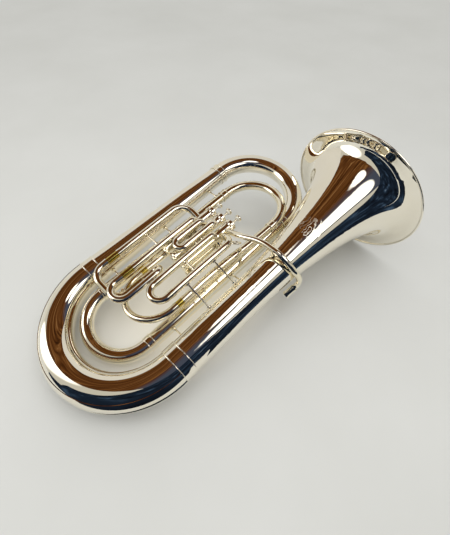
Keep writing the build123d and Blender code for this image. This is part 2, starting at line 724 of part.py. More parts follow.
def branch_braces():
    """Braces between the outer branch, the inner branch and the bell."""
    pieces = []
    for x in BRANCH_BRACE_X:
        pieces.append(brace((x, BRANCH_SPACING, 0), (x, INNER_Y, 0),
                            outer_branch_radius(x) + CONE_GAP, inner_branch_radius(x) + SOLDER_GAP))
    for x in BELL_BRACE_X:
        pieces.append(brace((x, 0, 0), (x, RISING_Y, RISING_Z),
                            bell_radius(x) + FLARE_GAP, rising_branch_radius(x) + SOLDER_GAP))
    return pieces


def slide_braces():
    """Braces that carry the valve tubing."""
    leg = OUTER_TUBE_R
    pieces = []
    for x in FIRST_BRACE_X:
        pieces.append(brace((x, FIRST_Y[1], SLIDE_Z), (x, 0, 0), leg, bell_radius(x) + FLARE_GAP))
    for x, ys in ((THIRD_PAIR_BRACE_X, THIRD_Y), (FIRST_PAIR_BRACE_X, FIRST_Y)):
        pieces.append(brace((x, ys[0], SLIDE_Z), (x, ys[1], SLIDE_Z), leg, leg))
    x = THIRD_BRACE_X
    pieces.append(brace((x, THIRD_Y[0], SLIDE_Z), (x, BRANCH_SPACING, 0), leg,
                        outer_branch_radius(x) + CONE_GAP))
    x = MAIN_LEFT_BRACE_X
    pieces.append(brace((x, MAIN_LEFT[0], MAIN_LEFT[1]), (x, INNER_Y, 0), leg,
                        inner_branch_radius(x) + SOLDER_GAP))
    x = MAIN_RIGHT_BRACE_X
    pieces.append(brace((x, MAIN_RIGHT[0], MAIN_RIGHT[1]), (x, RISING_Y, RISING_Z), leg,
                        rising_branch_radius(x) + SOLDER_GAP))
    return pieces


def mouthpipe_brace():
    """Foot that holds the mouthpipe off the bell where it crosses over it."""
    x = MOUTHPIPE_BRACE_X
    way = Vector(0, *MOUTHPIPE_BRACE_WAY)
    body = rod((x, 0, 0), way + Vector(x, 0, 0), ROD_R + 1)
    r_bell = bell_radius(x)
    unit = way.normalized()
    body += rod((x, 0, 0), Vector(x, 0, 0) + unit * (r_bell + 3.2), FOOT_R + 2)
    body -= along_x(x - 40, x + 40, 0, 0, bell_radius(x - 40) + FLARE_GAP,
                    bell_radius(x + 40) + FLARE_GAP)
    points = mouthpipe_points()
    a, b = Vector(points[2]), Vector(points[3])
    return body - rod(a, b, MOUTHPIPE_R + SOLDER_GAP)


# ================================================================ water key
def key_place():
    """Local frame on the outside of the tuning slide bow: X along, Y out of it."""
    mouth = MAIN_END_X - MAIN_DRAWN - SOLDER_GAP
    x = mouth - LEG_SOCKET
    centre = Vector(x, (MAIN_LEFT[0] + MAIN_RIGHT[0]) / 2, (MAIN_LEFT[1] + MAIN_RIGHT[1]) / 2)
    arm = Vector(x, *MAIN_LEFT) - centre
    ahead = Vector(-1, 0, 0)
    turn = radians(KEY_ANGLE)
    out = arm.normalized() * cos(turn) + ahead * sin(turn)
    along = ahead * cos(turn) - arm.normalized() * sin(turn)
    origin = centre + out * (arm.length + OUTER_TUBE_R)
    return Plane(origin=origin, x_dir=along, z_dir=along.cross(out))


def local_rod(start, end, r):
    frame = key_place()
    return rod(frame.from_local_coords(Vector(start)), frame.from_local_coords(Vector(end)), r)


def local_box(low, high):
    size = [b - a for a, b in zip(low, high)]
    middle = [(a + b) / 2 for a, b in zip(low, high)]
    return key_place() * Pos(*middle) * Box(*size)


def water_key_seat(body):
    """Adds the drain nipple to the slide bow and bores it."""
    body += local_rod((0, -1, 0), (0, 1.8, 0), NIPPLE_R)
    return body - local_rod((0, -6, 0), (0, 3, 0), NIPPLE_BORE_R)


def water_key_saddle():
    x, y = KEY_PIN_AT
    body = local_box((x - 3.2, 0, -5), (x + 3.2, 2.6, 5))
    for z in (-5, 3.4):
        body += local_box((x - 2.4, 2.4, z), (x + 2.4, y + 2.4, z + 1.6))
    return body + local_rod((x, y, -5.6), (x, y, 5.6), KEY_PIN_R)


def water_key_lever():
    x, y = KEY_PIN_AT
    body = local_rod((x, y, -3.1), (x, y, 3.1), KEY_BARREL_R)
    body += local_box((-1.5, y - 1.3, -2), (KEY_LENGTH - 3, y + 0.9, 2))
    body += local_rod((0, y - 2.2, 0), (0, y + 0.9, 0), KEY_CUP_R)
    body += local_rod((KEY_LENGTH, y - 1.3, 0), (KEY_LENGTH, y + 0.9, 0), KEY_THUMB_R)
    return body - local_rod((x, y, -6), (x, y, 6), KEY_PIN_R + KEY_PIN_FIT)


def water_key_cork():
    return local_rod((0, 2.1, 0), (0, KEY_PIN_AT[1] - 2.2, 0), KEY_CORK_R)


# ================================================================ assembly
def nodes():
    """Every sub-part by name, in the horn's own frame."""
    parts = {"bell": bell(), "bell_rim_bead": bell_rim_bead(), "bottom_bow": bottom_bow(),
             "bottom_bow_guard": bottom_bow_guard(),
             "bell_ferrule": ferrule(0, FERRULE_LENGTH, 0, 0, BELL_THROAT_R + SOLDER_GAP),
             "branch_ferrule": ferrule(0, FERRULE_LENGTH, BRANCH_SPACING, 0, BRANCH_FOOT_R),
             "outer_branch": outer_branch(), "outer_top_bow": outer_top_bow(),
             "rising_branch": rising_branch(), "inner_bottom_bow": inner_bottom_bow(),
             "inner_branch": inner_branch(), "inner_top_bow": inner_top_bow(),
             "lead_branch": lead_branch(), "joint_ferrules": branch_ferrules(),
             "tuning_slide_tubes": main_slide_tubes(), "valve_knuckles": knuckles(),
             "first_valve_tubing": first_valve_tubing(),
             "second_valve_tubing": second_valve_tubing(),
             "third_valve_tubing": third_valve_tubing(),
             "compensating_tubing": compensating_tubing(), "top_valve_caps": top_caps(),
             "bottom_valve_caps": bottom_caps(), "mouthpipe": mouthpipe(),
             "mouthpiece_receiver": mouthpiece_receiver(), "thumb_ring": thumb_ring(),
             "branch_braces": branch_braces(), "slide_braces": slide_braces(),
             "mouthpipe_brace": mouthpipe_brace(), "third_slide_brace": third_slide_brace(),
             "water_key_saddle": water_key_saddle(), "water_key_lever": water_key_lever(),
             "water_key_cork": water_key_cork()}
    for number in VALVE_Y:
        parts[f"valve_casing_{number}"] = casing(number)
        parts[f"piston_{number}"] = piston(number)
        parts[f"valve_stem_{number}"] = valve_stem(number)
        parts[f"finger_button_{number}"] = finger_button(number)
        parts[f"button_felt_{number}"] = button_felt(number)
        parts[f"valve_spring_{number}"] = valve_spring(number)
    main_bow, main_legs = plain_slide(MAIN_END_X, MAIN_DRAWN, MAIN_LEFT, MAIN_RIGHT)
    slides = {"main_slide": (water_key_seat(main_bow), main_legs),
              "first_slide": first_slide(), "second_slide": second_slide(),
              "third_slide": third_slide()}
    for name, (body, legs) in slides.items():
        parts[f"{name}_bow"] = body
        parts[f"{name}_legs"] = legs
    for number, word in ((1, "first"), (2, "second")):
        body, legs = compensating_slide(number)
        parts[f"{word}_compensating_slide"] = [body] + legs
    return parts


def rest_pitch():
    """Angle of the bell axis to the floor, lying on rim and bottom bow."""
    run = RIM_X + BRANCH_SPACING / 2
    foot = BOW_MID_R
    return degrees(atan2(RIM_R, run) - asin(foot / hypot(RIM_R, run)))


def solids_of(shape):
    shapes = shape if isinstance(shape, (list, tuple)) else [shape]
    return [solid for item in shapes for solid in item.solids()]


def stand(parts):
    """Lays the horn down, with the floor at Z = 0 and the box's centre at X = Y = 0."""
    tilt = Rot(0, -rest_pitch(), 0)
    laid = {name: [tilt * s for s in solids_of(shape)] for name, shape in parts.items()}
    boxes = [s.bounding_box() for group in laid.values() for s in group]
    x = (min(b.min.X for b in boxes) + max(b.max.X for b in boxes)) / 2
    y = (min(b.min.Y for b in boxes) + max(b.max.Y for b in boxes)) / 2
    z = min(b.min.Z for b in boxes)
    place = Pos(-x, -y, -z)
    return place * tilt, {name: [place * s for s in group] for name, group in laid.items()}


PLACE, PARTS = stand(nodes())
os.makedirs("parts", exist_ok=True)
for name, group in PARTS.items():
    export_step(Compound(group), f"parts/{name}.step")
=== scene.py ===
import json
from math import atan2, pi, radians

import bmesh
import bpy
from mathutils import Matrix, Vector


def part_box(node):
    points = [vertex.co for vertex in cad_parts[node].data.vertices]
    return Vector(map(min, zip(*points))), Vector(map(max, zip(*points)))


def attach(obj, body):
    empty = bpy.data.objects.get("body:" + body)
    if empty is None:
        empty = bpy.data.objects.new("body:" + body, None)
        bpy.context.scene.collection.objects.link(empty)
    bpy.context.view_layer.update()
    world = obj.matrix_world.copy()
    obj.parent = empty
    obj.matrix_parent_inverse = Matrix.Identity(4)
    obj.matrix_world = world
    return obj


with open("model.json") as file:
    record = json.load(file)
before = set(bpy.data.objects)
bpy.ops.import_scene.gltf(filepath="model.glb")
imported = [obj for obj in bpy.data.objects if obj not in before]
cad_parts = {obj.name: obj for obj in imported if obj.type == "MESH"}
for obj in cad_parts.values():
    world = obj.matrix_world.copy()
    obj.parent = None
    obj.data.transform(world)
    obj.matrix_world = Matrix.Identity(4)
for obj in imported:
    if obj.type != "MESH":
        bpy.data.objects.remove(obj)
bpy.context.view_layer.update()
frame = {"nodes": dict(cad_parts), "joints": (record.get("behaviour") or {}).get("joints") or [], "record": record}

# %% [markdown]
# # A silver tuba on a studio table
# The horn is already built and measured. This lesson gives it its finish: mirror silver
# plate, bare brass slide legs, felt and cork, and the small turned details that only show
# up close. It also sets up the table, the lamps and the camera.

# %% [markdown]
# ## Axes of the horn
# The horn lies on its back with the bell end raised, so nothing is square to the floor.
# Each slide draws out along the bell's axis, so a slide's joint gives that direction, and
# the ferrule at the foot of the bell gives a point on it. Two more directions, across the
# horn and out of its face, complete a frame for placing small pieces.

# %% Directions
draw = next(j for j in frame["joints"] if j["name"] == "main_slide_draw")
BELLWARD = -Vector(draw["axis"]).normalized()
ACROSS = Vector((0.0, 1.0, 0.0))
FACING = BELLWARD.cross(ACROSS)


def middle(node):
    """Centre of a node's box."""
    low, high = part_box(node)
    return (Vector(low) + Vector(high)) / 2


print("bell axis:", [round(v, 4) for v in BELLWARD])

# %% [markdown]
# ## Camera
# A phone held above the foot of the horn, looking down along it toward the bell. The lens
# is short, as on a phone, so the near bow looks large and the bell runs away.

# %% Camera
camera = bpy.data.objects.new("camera", bpy.data.cameras.new("camera"))
bpy.context.collection.objects.link(camera)
camera.location = (-0.4345, -0.4356, 0.9128)
camera.rotation_euler = (radians(38.552), radians(-1.074), radians(-44.62))
camera.data.lens = 23.06
camera.data.sensor_width = 36.0
camera.data.clip_start = 0.01
bpy.context.scene.camera = camera
print("camera at", [round(v, 3) for v in camera.location])

# %% [markdown]
# ## Small helpers for materials
# Every finish is a Principled shader fed by a few noise nodes. Noise read on Object
# coordinates is measured in metres, because every piece sits at the origin unturned, so a
# scale of 400 makes marks about 2.5 mm across on any piece.

# %% Node helpers
def new_material(name):
    """A material with a Principled shader, and its node tree."""
    material = bpy.data.materials.new(name)
    material.use_nodes = True
    return material, material.node_tree, material.node_tree.nodes["Principled BSDF"]


def stretched(tree, scale, turn=(0.0, 0.0, 0.0)):
    """Object coordinates, turned and stretched, in metres."""
    place = tree.nodes.new("ShaderNodeTexCoord")
    mapping = tree.nodes.new("ShaderNodeMapping")
    mapping.inputs["Scale"].default_value = scale
    mapping.inputs["Rotation"].default_value = turn
    tree.links.new(place.outputs["Object"], mapping.inputs["Vector"])
    return mapping.outputs["Vector"]


def noise(tree, vector, scale, detail=4.0, roughness=0.55):
    """Fractal noise between 0 and 1."""
    node = tree.nodes.new("ShaderNodeTexNoise")
    node.inputs["Scale"].default_value = scale
    node.inputs["Detail"].default_value = detail
    node.inputs["Roughness"].default_value = roughness
    tree.links.new(vector, node.inputs["Vector"])
    return node.outputs["Fac"]


def spread(tree, value, low, high, to_low, to_high):
    """One range carried onto another, clamped."""
    node = tree.nodes.new("ShaderNodeMapRange")
    for socket, number in zip(("From Min", "From Max", "To Min", "To Max"),
                              (low, high, to_low, to_high)):
        node.inputs[socket].default_value = number
    tree.links.new(value, node.inputs["Value"])
    return node.outputs["Result"]


def ramp(tree, value, stops):
    """A colour ramp: stops are (position, (r, g, b))."""
    node = tree.nodes.new("ShaderNodeValToRGB")
    tones = node.color_ramp.elements
    while len(tones) < len(stops):
        tones.new(0.5)
    for tone, (position, colour) in zip(tones, stops):
        tone.position = position
        tone.color = (*colour, 1.0)
    tree.links.new(value, node.inputs["Fac"])
    return node.outputs["Color"]


def bumped(tree, shader, value, strength, distance, under=None):
    """A bump on the shader's normal, on top of another bump if one is given."""
    node = tree.nodes.new("ShaderNodeBump")
    node.inputs["Strength"].default_value = strength
    node.inputs["Distance"].default_value = distance
    tree.links.new(value, node.inputs["Height"])
    if under:
        tree.links.new(under, node.inputs["Normal"])
    tree.links.new(node.outputs["Normal"], shader.inputs["Normal"])
    return node.outputs["Normal"]


# %% [markdown]
# ## Silver plate
# The whole horn is brass under a thin mirror silver plate. Silver reflects a little less
# blue than red, so where tubes reflect each other two or three times the metal turns
# straw coloured by itself. Hand buffing leaves the sheet very slightly wavy, and faint
# wiping marks and haze change the gloss from place to place. The bell and the big bows are
# beaten from sheet, so they wave more than the drawn tubing, and they get their own mix.

# %% Silver
def silver_plate(name, wave, straw, gloss_range):
    """Mirror silver: wave is how far the beaten sheet strays from a true curve."""
    material, tree, shader = new_material(name)
    shader.inputs["Metallic"].default_value = 1.0
    wide = noise(tree, stretched(tree, (1, 1, 1)), 9.0, 3.0)
    tone = ramp(tree, wide, [(0.3, straw), (0.7, (0.97, 0.925, 0.815))])
    tree.links.new(tone, shader.inputs["Base Color"])
    haze = noise(tree, stretched(tree, (1, 1, 1)), 55.0, 6.0, 0.65)
    wiped = noise(tree, stretched(tree, (14, 260, 260), (0.0, radians(9.7), 0.0)), 1.0, 5.0)
    both = tree.nodes.new("ShaderNodeMath")
    both.operation = "MULTIPLY"
    tree.links.new(haze, both.inputs[0])
    tree.links.new(wiped, both.inputs[1])
    gloss = spread(tree, both.outputs[0], 0.15, 0.45, *gloss_range)
    tree.links.new(gloss, shader.inputs["Roughness"])
    waves = noise(tree, stretched(tree, (1, 1, 1)), 24.0, 1.0)
    bumped(tree, shader, waves, wave, 0.002)
    return material


STRAW = (0.94, 0.865, 0.66)
SHEET_STRAW = (0.945, 0.89, 0.755)
SHEET_GLOSS = (0.02, 0.045)
SILVER = silver_plate("drawn_silver", 0.008, STRAW, (0.05, 0.09))
SHEET_SILVER = silver_plate("sheet_silver", 0.05, SHEET_STRAW, SHEET_GLOSS)
print("silver nodes:", len(SILVER.node_tree.nodes))

# %% [markdown]
# ## Engraving on the bell
# A maker cuts an ornament into the front of the bell. Here it's a plain spray of curling
# lines, cut through the mirror so it looks frosted. It could be cut into the mesh, but the
# cuts are far finer than the sheet's faces, so the finish carries them: a small oval of
# curled bands that raises the roughness and dents the normal.

# %% Engraved silver
def engraved_silver(centre, size):
    material = silver_plate("engraved_silver", 0.05, SHEET_STRAW, SHEET_GLOSS)
    tree = material.node_tree
    shader = tree.nodes["Principled BSDF"]
    place = tree.nodes.new("ShaderNodeTexCoord")
    spot = tree.nodes.new("ShaderNodeMapping")
    spot.vector_type = "TEXTURE"
    spot.inputs["Location"].default_value = centre
    spot.inputs["Scale"].default_value = (size, size, size)
    tree.links.new(place.outputs["Object"], spot.inputs["Vector"])
    oval = tree.nodes.new("ShaderNodeTexGradient")
    oval.gradient_type = "SPHERICAL"
    tree.links.new(spot.outputs["Vector"], oval.inputs["Vector"])
    curls = tree.nodes.new("ShaderNodeTexWave")
    curls.wave_type = "RINGS"
    curls.inputs["Scale"].default_value = 1.6
    curls.inputs["Distortion"].default_value = 9.0
    curls.inputs["Detail"].default_value = 1.0
    curls.inputs["Detail Scale"].default_value = 1.4
    tree.links.new(spot.outputs["Vector"], curls.inputs["Vector"])
    lines = spread(tree, curls.outputs["Fac"], 0.80, 0.92, 0.0, 1.0)
    inside = spread(tree, oval.outputs["Fac"], 0.05, 0.25, 0.0, 1.0)
    cut = tree.nodes.new("ShaderNodeMath")
    cut.operation = "MULTIPLY"
    tree.links.new(lines, cut.inputs[0])
    tree.links.new(inside, cut.inputs[1])
    polish = shader.inputs["Roughness"].links[0].from_socket
    rough = tree.nodes.new("ShaderNodeMath")
    rough.operation = "MULTIPLY_ADD"
    rough.inputs[1].default_value = 0.35
    tree.links.new(cut.outputs[0], rough.inputs[0])
    tree.links.new(polish, rough.inputs[2])
    tree.links.new(rough.outputs[0], shader.inputs["Roughness"])
    wave = shader.inputs["Normal"].links[0].from_socket
    bumped(tree, shader, cut.outputs[0], 0.25, 0.0003, wave)
    return material


ornament_at = middle("bell_ferrule") + BELLWARD * 0.49 + Vector((0, -0.012, 0.068))
ENGRAVED = engraved_silver(ornament_at, 0.040)
print("ornament at", [round(v, 3) for v in ornament_at])

# %% [markdown]
# ## The other finishes
# The slide legs that show are bare brass, rubbed bright by use. Pistons and springs are
# harder, greyer metals with lathe marks. Felt and cork are soft and scatter the light, so
# they get sheen or speckle and a real bump instead of gloss.

# %% Brass, valve metal and spring steel
def worked_metal(name, dark, light, rough, ring_scale):
    """A metal with turned rings across the bell axis and rubbed patches."""
    material, tree, shader = new_material(name)
    shader.inputs["Metallic"].default_value = 1.0
    worn = noise(tree, stretched(tree, (1, 1, 1)), 120.0, 5.0, 0.6)
    tree.links.new(ramp(tree, worn, [(0.3, dark), (0.7, light)]), shader.inputs["Base Color"])
    rings = noise(tree, stretched(tree, (ring_scale, 20, 20), (0.0, radians(9.7), 0.0)), 1.0)
    tree.links.new(spread(tree, rings, 0.3, 0.7, rough * 0.6, rough * 1.4),
                   shader.inputs["Roughness"])
    bumped(tree, shader, rings, 0.12, 0.0002)
    return material


FINISHES = {
    "silver_plate": SILVER,
    "raw_brass": worked_metal("raw_brass", (0.47, 0.34, 0.05), (0.76, 0.59, 0.15), 0.14, 1500),
    "valve_metal": worked_metal("valve_metal", (0.50, 0.48, 0.44), (0.68, 0.66, 0.62),
                                0.2, 2500),
    "spring_steel": worked_metal("spring_steel", (0.40, 0.40, 0.42), (0.60, 0.60, 0.62),
                                 0.28, 900),
}
print("metals:", sorted(FINISHES))

# %% Felt and cork
def felt():
    material, tree, shader = new_material("felt")
    fibres = noise(tree, stretched(tree, (1, 1, 1)), 1800.0, 8.0, 0.75)
    tree.links.new(ramp(tree, fibres, [(0.3, (0.60, 0.57, 0.48)), (0.7, (0.86, 0.84, 0.77))]),
                   shader.inputs["Base Color"])
    shader.inputs["Roughness"].default_value = 0.95
    shader.inputs["Sheen Weight"].default_value = 0.6
    shader.inputs["Sheen Roughness"].default_value = 0.5
    bumped(tree, shader, fibres, 0.7, 0.0006)
    return material


def cork():
    material, tree, shader = new_material("cork")
    grains = tree.nodes.new("ShaderNodeTexVoronoi")
    grains.inputs["Scale"].default_value = 1100.0
    tree.links.new(stretched(tree, (1, 1, 1)), grains.inputs["Vector"])
    tree.links.new(ramp(tree, grains.outputs["Distance"],
                        [(0.0, (0.72, 0.50, 0.28)), (0.6, (0.55, 0.33, 0.15)),
                         (1.0, (0.24, 0.12, 0.05))]), shader.inputs["Base Color"])
    shader.inputs["Roughness"].default_value = 0.85
    bumped(tree, shader, grains.outputs["Distance"], 0.5, 0.0005)
    return material


FINISHES["felt"] = felt()
FINISHES["cork"] = cork()
print("finishes:", sorted(FINISHES))

# %% [markdown]
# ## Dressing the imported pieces
# The record says which finish each piece has. The piece's own mesh stays as it is, and
# only its material slot changes.

# %% Assign finishes
record_slot = {s["node"]: s["material_slot"] for s in frame["record"]["subparts"]}
SHEET_PIECES = ("bell_rim_bead", "bottom_bow", "bottom_bow_guard", "outer_branch",
                "outer_top_bow", "bell_ferrule", "branch_ferrule")
for node, piece in frame["nodes"].items():
    finish = FINISHES[record_slot[node]]
    if node in SHEET_PIECES:
        finish = SHEET_SILVER
    if node == "bell":
        finish = ENGRAVED
    for slot in piece.material_slots:
        slot.material = finish
print("dressed", len(frame["nodes"]), "pieces")

# %% [markdown]
# ## Shaping small turned pieces
# Turned parts are drawn upright, with Z along their own axis, and then laid down into
# place by one matrix. The object itself stays at the origin, so its finish doesn't slide.

# %% Turned-piece helpers
LAY = Matrix((ACROSS, FACING, BELLWARD)).transposed().to_4x4()


def upright(axis):
    """A turn that carries Z onto an axis."""
    return Vector(axis).to_track_quat("Z", "Y").to_matrix().to_4x4()


def settle(name, bm, place, turn, body, material, smooth=True):
    """Lays a shape down in the room and lets it ride on a body."""
    bmesh.ops.transform(bm, matrix=Matrix.Translation(place) @ turn, verts=bm.verts)
    bmesh.ops.recalc_face_normals(bm, faces=bm.faces)
    mesh = bpy.data.meshes.new(name)
    bm.to_mesh(mesh)
    bm.free()
    for face in mesh.polygons:
        face.use_smooth = smooth
    piece = bpy.data.objects.new(name, mesh)
    bpy.context.collection.objects.link(piece)
    mesh.materials.append(material)
    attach(piece, body)
    return piece


def ring(outer, inner, height, segments):
    """A flat-topped ring standing on Z = 0."""
    bm = bmesh.new()
    for radius in (outer, inner):
        bmesh.ops.create_circle(bm, segments=segments, radius=radius)
    flat = bmesh.ops.bridge_loops(bm, edges=bm.edges[:])["faces"]
    raised = bmesh.ops.extrude_face_region(bm, geom=flat)["geom"]
    top = [v for v in raised if isinstance(v, bmesh.types.BMVert)]
    bmesh.ops.translate(bm, vec=(0, 0, height), verts=top)
    return bm


# %% [markdown]
# ## Knurled valve caps
# The caps screw on by hand, so each has a milled band to grip. The band is a ring whose
# outer corners are pulled in and out by turns, which is what a knurling wheel leaves.

# %% Knurled bands
CASING_LENGTH = 0.187
TEETH = 60
TOOTH_DEPTH = 0.00035
# inset from the casing's end, outer radius, inner radius and height of each band
TOP_BAND = (0.0055, 0.01865, 0.0178, 0.0062)
BOTTOM_BAND = (0.0035, 0.0181, 0.0173, 0.0050)


def knurled_band(name, place, outer, inner, height):
    """A milled ring on a cap: every second outer corner is pulled in."""
    bm = ring(outer, inner, height, TEETH * 2)
    rim = [v for v in bm.verts if v.co.xy.length > (outer + inner) / 2]
    for v in rim:
        step = round(atan2(v.co.y, v.co.x) / (2 * pi) * TEETH * 2)
        if step % 2:
            v.co.xy *= (outer - TOOTH_DEPTH) / outer
    return settle(name, bm, place, LAY, "frame", SILVER, smooth=False)


for k in (1, 2, 3):
    axis_point = middle(f"valve_casing_{k}")
    end = axis_point + BELLWARD * (CASING_LENGTH / 2)
    foot = axis_point - BELLWARD * (CASING_LENGTH / 2)
    knurled_band(f"top_cap_knurl_{k}", end - BELLWARD * TOP_BAND[0], *TOP_BAND[1:])
    knurled_band(f"bottom_cap_knurl_{k}", foot - BELLWARD * BOTTOM_BAND[0], *BOTTOM_BAND[1:])
print("knurled bands at", [round(v, 3) for v in end])

# %% [markdown]
# ## Button inlays
# Each finger button has a disc of mother-of-pearl set in its dished top, worn smooth by
# the player's fingers. A flattened ball fills the dish, and a clear coat over slow bands
# of cream, pink and green gives the shell its depth.

# %% Pearl
def pearl():
    material, tree, shader = new_material("pearl")
    bands = noise(tree, stretched(tree, (120, 60, 300)), 1.0, 3.0)
    tree.links.new(ramp(tree, bands, [(0.3, (0.66, 0.60, 0.50)), (0.45, (0.80, 0.72, 0.64)),
                                      (0.58, (0.70, 0.76, 0.66)), (0.7, (0.86, 0.82, 0.72))]),
                   shader.inputs["Base Color"])
    shader.inputs["Roughness"].default_value = 0.22
    shader.inputs["Coat Weight"].default_value = 0.8
    shader.inputs["Coat Roughness"].default_value = 0.05
    bumped(tree, shader, bands, 0.08, 0.0002)
    return material


PEARL = pearl()
INLAY_R, INLAY_FLATNESS, INLAY_RISE = 0.0079, 0.13, 0.0024
for k in (1, 2, 3):
    bm = bmesh.new()
    bmesh.ops.create_uvsphere(bm, u_segments=48, v_segments=16, radius=INLAY_R)
    bmesh.ops.scale(bm, vec=(1.0, 1.0, INLAY_FLATNESS), verts=bm.verts)
    top = middle(f"finger_button_{k}") + BELLWARD * INLAY_RISE
    settle(f"button_inlay_{k}", bm, top, LAY, f"valve_{k}", PEARL)
print("inlays set")

# %% [markdown]
# ## Water key spring and screw
# A short key on the tuning slide lets water out. Its spring is a few turns of wire round
# the hinge barrel, and a screw head closes each end of the pin. The wire is one small
# circle swept round the pin with a steady rise, so spin makes it with a step along the axis.

# %% Key spring
hinge = next(j for j in frame["joints"] if j["name"] == "water_key_hinge")
PIN = Vector(hinge["pos_m"])
PIN_WAY = upright(hinge["axis"])
TURNS, STEPS, RISE = 4, 24, 0.0010
WIRE_R, COIL_R = 0.00038, 0.0033
bm = bmesh.new()
bmesh.ops.create_circle(bm, segments=10, radius=WIRE_R)
bmesh.ops.rotate(bm, matrix=Matrix.Rotation(pi / 2, 3, "X"), verts=bm.verts)
bmesh.ops.translate(bm, vec=(COIL_R, 0, -TURNS * RISE / 2), verts=bm.verts)
bmesh.ops.spin(bm, geom=bm.verts[:] + bm.edges[:], cent=(0, 0, 0), axis=(0, 0, 1),
               dvec=(0, 0, RISE / STEPS), angle=2 * pi * TURNS, steps=TURNS * STEPS)
bmesh.ops.holes_fill(bm, edges=[e for e in bm.edges if e.is_boundary], sides=0)
settle("key_spring", bm, PIN, PIN_WAY, "water_key", FINISHES["spring_steel"])
print("key spring at", [round(v, 4) for v in PIN])

# %% Hinge screw heads
SCREW_DEPTH, SCREW_REACH = 0.0009, 0.0056
for side, word in ((1, "left"), (-1, "right")):
    bm = bmesh.new()
    bmesh.ops.create_cone(bm, cap_ends=True, segments=32, radius1=0.0019, radius2=0.0016,
                          depth=SCREW_DEPTH)
    top = max(bm.faces, key=lambda f: f.calc_center_median().z)
    bmesh.ops.inset_region(bm, faces=[top], thickness=0.0004)
    bmesh.ops.translate(bm, vec=(0, 0, SCREW_DEPTH / 2), verts=bm.verts)
    turn = PIN_WAY if side > 0 else PIN_WAY @ Matrix.Rotation(pi, 4, "X")
    place = PIN + (PIN_WAY.to_3x3() @ Vector((0, 0, SCREW_REACH * side)))
    settle(f"hinge_screw_{word}", bm, place, turn, "main_slide", FINISHES["spring_steel"])
print("screw heads set")

# %% [markdown]
# ## Table
# A plain pale table, wide enough to reach past every view. A gloss on it would mirror the
# glowing cards set up below, so it's matt, with a faint mottle. A mirror horn also throws
# warm light back onto the table between its tubes. Following that light through every
# bounce is slow, so a weak warm glow under the horn stands for it.

# %% Staging helper
WALL_WAY = Vector((0.686, 0.728, 0.0)).normalized()


def card(name, centre, toward, width, height, material):
    """A flat rectangle at a place, facing a direction."""
    bm = bmesh.new()
    bmesh.ops.create_grid(bm, x_segments=1, y_segments=1, size=0.5)
    bmesh.ops.scale(bm, vec=(width, height, 1.0), verts=bm.verts)
    turn = Vector(toward).to_track_quat("Z", "Y").to_matrix().to_4x4()
    bmesh.ops.transform(bm, matrix=Matrix.Translation(centre) @ turn, verts=bm.verts)
    mesh = bpy.data.meshes.new(name)
    bm.to_mesh(mesh)
    bm.free()
    piece = bpy.data.objects.new(name, mesh)
    bpy.context.collection.objects.link(piece)
    mesh.materials.append(material)
    return piece


# %% Table top
table_top, tree, shader = new_material("table_top")
mottle = noise(tree, stretched(tree, (1, 1, 1)), 1.6, 4.0)
tree.links.new(ramp(tree, mottle, [(0.2, (0.60, 0.60, 0.575)), (0.8, (0.66, 0.66, 0.64))]),
               shader.inputs["Base Color"])
shader.inputs["Roughness"].default_value = 0.9
shader.inputs["Specular IOR Level"].default_value = 0.0
place = tree.nodes.new("ShaderNodeTexCoord")
under_horn = tree.nodes.new("ShaderNodeMapping")
under_horn.vector_type = "TEXTURE"
under_horn.inputs["Location"].default_value = (-0.08, 0.06, 0.0)
under_horn.inputs["Scale"].default_value = (0.42, 0.24, 1.0)
tree.links.new(place.outputs["Object"], under_horn.inputs["Vector"])
oval = tree.nodes.new("ShaderNodeTexGradient")
oval.gradient_type = "SPHERICAL"
tree.links.new(under_horn.outputs["Vector"], oval.inputs["Vector"])
shader.inputs["Emission Color"].default_value = (1.0, 0.90, 0.70, 1.0)
tree.links.new(spread(tree, oval.outputs["Fac"], 0.0, 0.6, 0.0, 0.30),
               shader.inputs["Emission Strength"])
TABLE_WIDTH = 60.0
table = card("table", (0, 0, 0), (0, 0, 1), TABLE_WIDTH, TABLE_WIDTH, table_top)
print("table", TABLE_WIDTH, "m wide")

# %% [markdown]
# ## What the mirror sees
# A mirror shows the room, so a silver horn is lit by what stands round it: a planked wood
# ceiling overhead, two soft lamps, a tall window, a pale wall beyond, and dark cloth where
# the person with the camera stands. Each is a glowing card that only glossy rays can meet,
# so it draws itself in the silver without tinting the table.

# %% Glowing cards
def glow(name, stops, vector_scale, detail, shade=None):
    """An emission material whose colour varies along a noise, and fades to a shade in Y."""
    material, tree, shader = new_material(name)
    tree.nodes.remove(shader)
    vector = stretched(tree, vector_scale)
    colour = ramp(tree, noise(tree, vector, 1.0, detail), stops)
    if shade:
        tint, near, far = shade
        split = tree.nodes.new("ShaderNodeSeparateXYZ")
        place = tree.nodes.new("ShaderNodeTexCoord")
        tree.links.new(place.outputs["Object"], split.inputs["Vector"])
        mix = tree.nodes.new("ShaderNodeMix")
        mix.data_type = "RGBA"
        tree.links.new(spread(tree, split.outputs["Y"], near, far, 0.0, 1.0), mix.inputs[0])
        tree.links.new(colour, mix.inputs[6])
        mix.inputs[7].default_value = (*tint, 1.0)
        colour = mix.outputs[2]
    lamp = tree.nodes.new("ShaderNodeEmission")
    tree.links.new(colour, lamp.inputs["Color"])
    tree.links.new(lamp.outputs["Emission"], tree.nodes["Material Output"].inputs["Surface"])
    return material


def seen_in_metal_only(piece):
    """Only glossy rays meet the piece."""
    piece.visible_camera = False
    piece.visible_diffuse = False
    piece.visible_shadow = False
    piece.visible_transmission = False
    return piece


